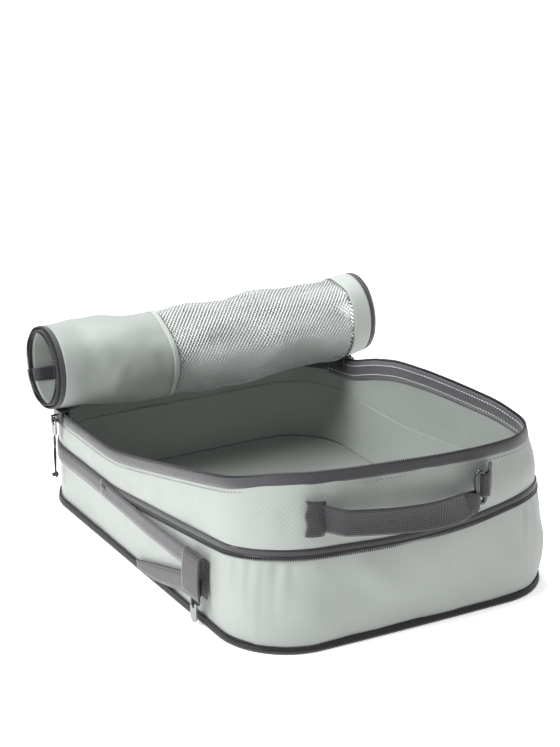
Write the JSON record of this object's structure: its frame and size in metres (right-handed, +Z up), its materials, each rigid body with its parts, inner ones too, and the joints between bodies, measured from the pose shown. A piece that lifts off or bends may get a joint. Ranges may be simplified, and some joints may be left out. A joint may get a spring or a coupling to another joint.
{
  "type": "packing cube",
  "caption": "Soft fabric packing cube, open, with an expansion gusset, a side zipper tab, a front webbing handle and a mesh lid rolled up at the back.",
  "frame": {"origin": "centre of the base, on the surface it stands on", "axes": "+Z up, +Y towards the hinged back, -Y towards the handle"},
  "size_m": [0.28, 0.3861, 0.1455],
  "materials": {
    "smooth_fabric": "smooth satin-faced polyester",
    "ripstop_fabric": "fine ripstop polyester, matte",
    "mesh_fabric": "soft knitted mesh, matte",
    "pale_binding": "pale woven edge binding, matte",
    "zipper_tape": "woven zipper tape, matte",
    "binding_tape": "woven edge binding with white stitches, matte",
    "webbing": "woven webbing, matte",
    "zipper_coil": "nylon zipper coil, satin",
    "black_plastic": "moulded, satin",
    "glossy_plastic": "moulded, glossy",
    "black_metal": "black coated die-cast metal, satin",
    "silver_metal": "satin nickel",
    "cord": "thin braided cord, matte"
  },
  "bodies": {
    "base": {"bottom_panel": "smooth_fabric", "bottom_piping": "zipper_tape", "expansion_gusset": "smooth_fabric", "lower_expansion_tape": "zipper_tape", "lower_expansion_chain": "zipper_coil", "lower_lead_tape": "zipper_tape", "garage_tab": "webbing"},
    "upper_body": {"upper_wall": "ripstop_fabric", "upper_expansion_tape": "zipper_tape", "upper_expansion_chain": "zipper_coil", "upper_lead_tape": "zipper_tape", "rim_tape": "zipper_tape", "rim_chain": "zipper_coil", "inner_binding": "binding_tape", "hinge_binding": "binding_tape", "chain_end_stops": "black_plastic", "handle_tab_left": "webbing", "handle_tab_right": "webbing"},
    "front_handle": {"handle_strap": "webbing", "handle_ring": "glossy_plastic"},
    "lid": {"lid_hinge_flap": "ripstop_fabric", "lid_solid_panel": "smooth_fabric", "lid_seam_binding": "pale_binding", "lid_mesh_window": "mesh_fabric", "lid_side_border": "ripstop_fabric", "lid_tape_left": "zipper_tape", "lid_tape_right": "zipper_tape", "lid_chain_left": "zipper_coil", "lid_chain_right": "zipper_coil"},
    "left_slider": {"left_slider": "black_metal"},
    "right_slider": {"right_slider": "black_metal"},
    "left_pull": {"left_pull": "silver_metal", "left_pull_cord": "cord", "left_pull_knot": "cord"},
    "right_pull": {"right_pull": "silver_metal"},
    "expansion_slider": {"expansion_slider": "black_metal"},
    "expansion_pull": {"expansion_pull": "silver_metal"}
  },
  "joints": [
    {"name": "expansion", "type": "slide", "parent": "base", "child": "upper_body", "axis": [0, 0, 1], "range_m": [-0.025, 0], "deforming": ["expansion_gusset"]},
    {"name": "lid_fold_back", "type": "hinge", "parent": "upper_body", "child": "lid", "pos_m": [0, 0.1785, 0.0773], "axis": [-1, 0, 0], "range_deg": [0, 150]},
    {"name": "left_slider_travel", "type": "slide", "parent": "upper_body", "child": "left_slider", "axis": [0, -1, 0], "range_m": [0, 0.082]},
    {"name": "right_slider_travel", "type": "slide", "parent": "upper_body", "child": "right_slider", "axis": [0, -0.9388, 0.3445], "range_m": [0, 0.034]},
    {"name": "left_pull_swing", "type": "hinge", "parent": "left_slider", "child": "left_pull", "pos_m": [-0.133, 0.132, 0.0746], "axis": [0, 1, 0], "range_deg": [0, 85]},
    {"name": "right_pull_swing", "type": "hinge", "parent": "right_slider", "child": "right_pull", "pos_m": [0.133, 0.132, 0.0746], "axis": [0, -1, 0], "range_deg": [0, 85]},
    {"name": "expansion_slider_travel", "type": "slide", "parent": "base", "child": "expansion_slider", "axis": [0, 1, 0], "range_m": [0, 0.03]},
    {"name": "expansion_pull_swing", "type": "hinge", "parent": "expansion_slider", "child": "expansion_pull", "pos_m": [-0.1339, -0.1025, 0.0188], "axis": [0, 1, 0], "range_deg": [0, 80]},
    {"name": "handle_lift", "type": "hinge", "parent": "upper_body", "child": "front_handle", "pos_m": [-0.022, -0.193, 0.101], "axis": [-1, 0, 0], "range_deg": [-20, 40]}
  ]
}
